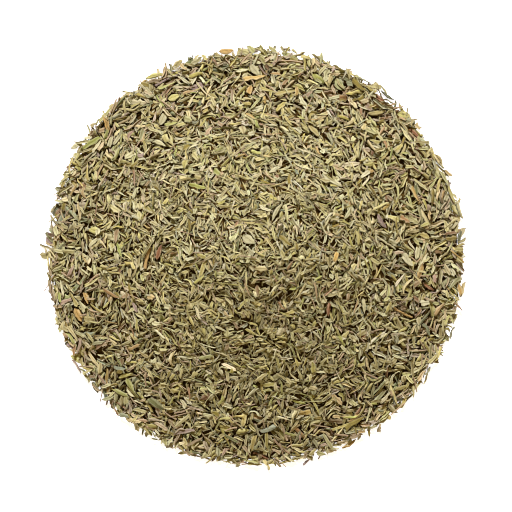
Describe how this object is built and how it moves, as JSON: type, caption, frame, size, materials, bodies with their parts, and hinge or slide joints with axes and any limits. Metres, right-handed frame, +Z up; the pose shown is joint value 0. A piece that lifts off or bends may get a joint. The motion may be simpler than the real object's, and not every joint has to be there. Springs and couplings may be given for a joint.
{
  "type": "heap of dried thyme leaves",
  "caption": "Round, cone-shaped heap of dried, rubbed thyme leaves with broken flakes and bits of stalk, poured out on a flat surface.",
  "frame": {"origin": "middle of the heap's flat round foot, on the surface it lies on", "axes": "+Z up through the tip of the heap; +X and +Y lie along the surface, with +Y towards the top of a view from above"},
  "size_m": [0.1405, 0.1417, 0.0369],
  "materials": {
    "packed_leaves": "matte",
    "leaf_olive": "matte",
    "leaf_ochre": "matte",
    "leaf_sage": "matte",
    "leaf_fresh_green": "matte",
    "leaf_yellow_green": "matte",
    "leaf_pale_sage": "matte",
    "leaf_dark_green": "matte",
    "leaf_mauve": "matte",
    "leaf_straw": "matte",
    "leaf_rust": "matte",
    "stalk_mauve": "matte",
    "stalk_straw": "matte",
    "stalk_ochre": "matte",
    "stalk_pale_sage": "matte",
    "stalk_rust": "matte"
  },
  "bodies": {
    "root": {"leaf_heap": "packed_leaves", "open_leaf_01": "leaf_olive", "open_leaf_02": "leaf_ochre", "open_leaf_03": "leaf_sage", "open_leaf_04": "leaf_fresh_green", "open_leaf_05": "leaf_sage", "open_leaf_06": "leaf_sage", "open_leaf_07": "leaf_fresh_green", "open_leaf_08": "leaf_yellow_green", "open_leaf_09": "leaf_olive", "open_leaf_10": "leaf_sage", "open_leaf_11": "leaf_yellow_green", "open_leaf_12": "leaf_pale_sage", "open_leaf_13": "leaf_olive", "open_leaf_14": "leaf_ochre", "open_leaf_15": "leaf_olive", "open_leaf_16": "leaf_yellow_green", "open_leaf_17": "leaf_dark_green", "open_leaf_18": "leaf_mauve", "open_leaf_19": "leaf_dark_green", "open_leaf_20": "leaf_sage", "rolled_leaf_01": "leaf_yellow_green", "rolled_leaf_02": "leaf_sage", "rolled_leaf_03": "leaf_pale_sage", "rolled_leaf_04": "leaf_dark_green", "rolled_leaf_05": "leaf_olive", "rolled_leaf_06": "leaf_sage", "rolled_leaf_07": "leaf_mauve", "rolled_leaf_08": "leaf_dark_green", "rolled_leaf_09": "leaf_pale_sage", "rolled_leaf_10": "leaf_straw", "rolled_leaf_11": "leaf_yellow_green", "rolled_leaf_12": "leaf_ochre", "rolled_leaf_13": "leaf_rust", "rolled_leaf_14": "leaf_rust", "rolled_leaf_15": "leaf_yellow_green", "rolled_leaf_16": "leaf_rust", "folded_leaf_01": "leaf_ochre", "folded_leaf_02": "leaf_yellow_green", "folded_leaf_03": "leaf_yellow_green", "folded_leaf_04": "leaf_straw", "folded_leaf_05": "leaf_pale_sage", "folded_leaf_06": "leaf_straw", "folded_leaf_07": "leaf_rust", "curled_leaf_01": "leaf_yellow_green", "curled_leaf_02": "leaf_pale_sage", "curled_leaf_03": "leaf_straw", "curled_leaf_04": "leaf_straw", "leaf_flake_01": "leaf_olive", "leaf_flake_02": "leaf_ochre", "leaf_flake_03": "leaf_rust", "leaf_flake_04": "leaf_ochre", "stalk_bit_01": "stalk_mauve", "stalk_bit_02": "stalk_straw", "stalk_bit_03": "stalk_ochre", "stalk_bit_04": "stalk_pale_sage", "stalk_bit_05": "stalk_ochre", "stalk_bit_06": "stalk_rust", "stalk_bit_07": "stalk_straw", "stalk_bit_08": "stalk_mauve"}
  },
  "joints": []
}
